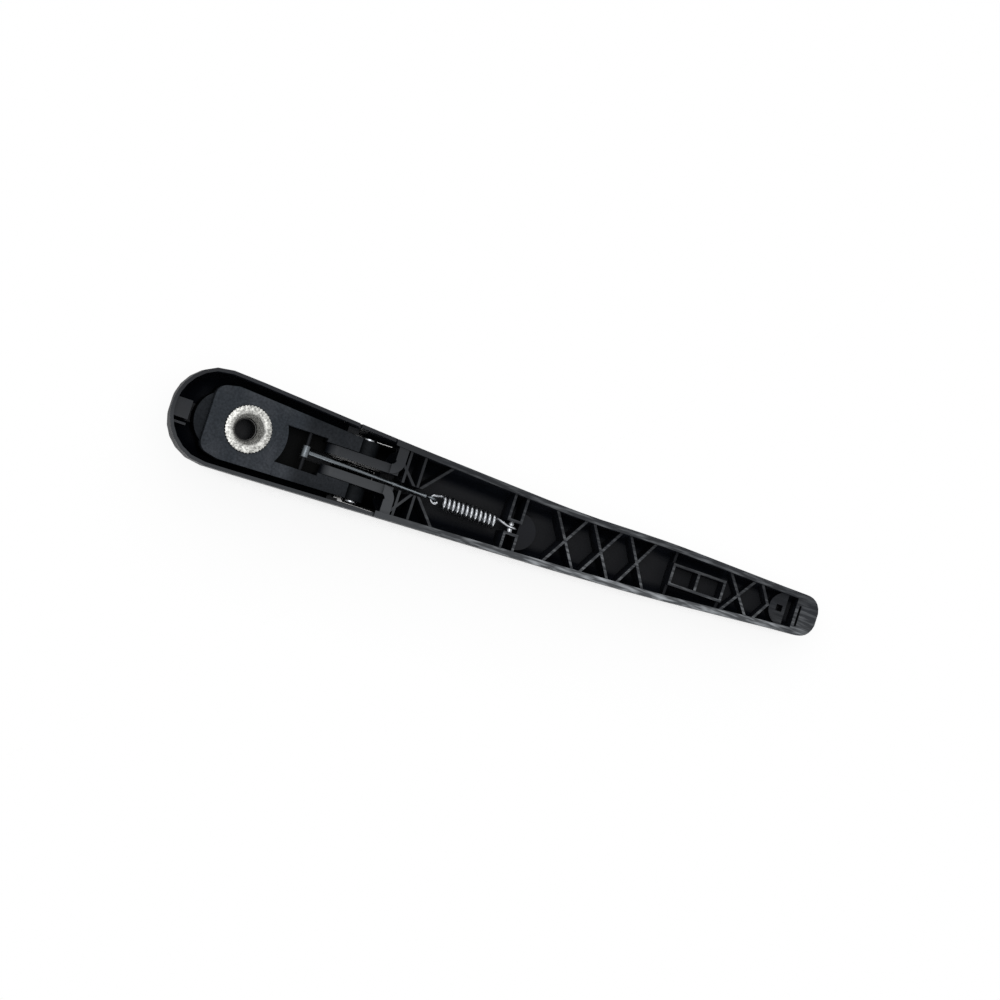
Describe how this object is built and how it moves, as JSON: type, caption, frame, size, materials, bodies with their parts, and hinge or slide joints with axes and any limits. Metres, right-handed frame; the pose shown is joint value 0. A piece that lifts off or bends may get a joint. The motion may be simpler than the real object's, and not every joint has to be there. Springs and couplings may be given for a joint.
{
  "type": "rear wiper arm",
  "caption": "Moulded rear wiper arm with a hinged shaft head, a ribbed channel arm, a pull spring and link, and a hinged cap over the shaft seat.",
  "frame": {"origin": "on the drive shaft's axis, halfway along the straight end of the shaft bore", "axes": "+Z along the shaft axis towards the glass side, +X from the shaft towards the tip of the arm, +Y across the arm"},
  "size_m": [0.2982, 0.0418, 0.0223],
  "materials": {
    "moulded_arm": "satin black moulded plastic",
    "moulded_cap": "satin black moulded plastic",
    "moulded_head": "dark grey glass-filled plastic",
    "insert_metal": "bright die-cast, knurled",
    "pin_steel": "zinc plated",
    "spring_steel": "zinc-plated spring wire",
    "link_steel": "zinc-plated steel"
  },
  "bodies": {
    "head": {"head": "moulded_head", "shaft_insert": "insert_metal", "hinge_pin_left": "pin_steel", "hinge_pin_right": "pin_steel", "hook_bar": "pin_steel"},
    "arm": {"arm": "moulded_arm", "spring_anchor": "pin_steel"},
    "link": {"link": "link_steel", "spring": "spring_steel"},
    "cap": {"cap": "moulded_cap"}
  },
  "joints": [
    {"name": "arm_hinge", "type": "hinge", "parent": "head", "child": "arm", "pos_m": [0.0525, -0.001, 0.0007], "axis": [0, 1, 0], "range_deg": [0, 40], "stiffness_Nm_per_rad": 0.4, "springref_deg": -57.3, "deforming": ["spring"]},
    {"name": "link_swing", "type": "hinge", "parent": "head", "child": "link", "pos_m": [0.0265, -0.001, 0.0071], "axis": [0, 1, 0], "range_deg": [0, 29], "deforming": ["spring"]},
    {"name": "cap_hinge", "type": "hinge", "parent": "head", "child": "cap", "pos_m": [0.0445, -0.001, -0.0038], "axis": [0, -1, 0], "range_deg": [0, 50]}
  ],
  "couplings": [
    {"joint": "link_swing", "follows": "arm_hinge", "ratio": 0.7235}
  ]
}
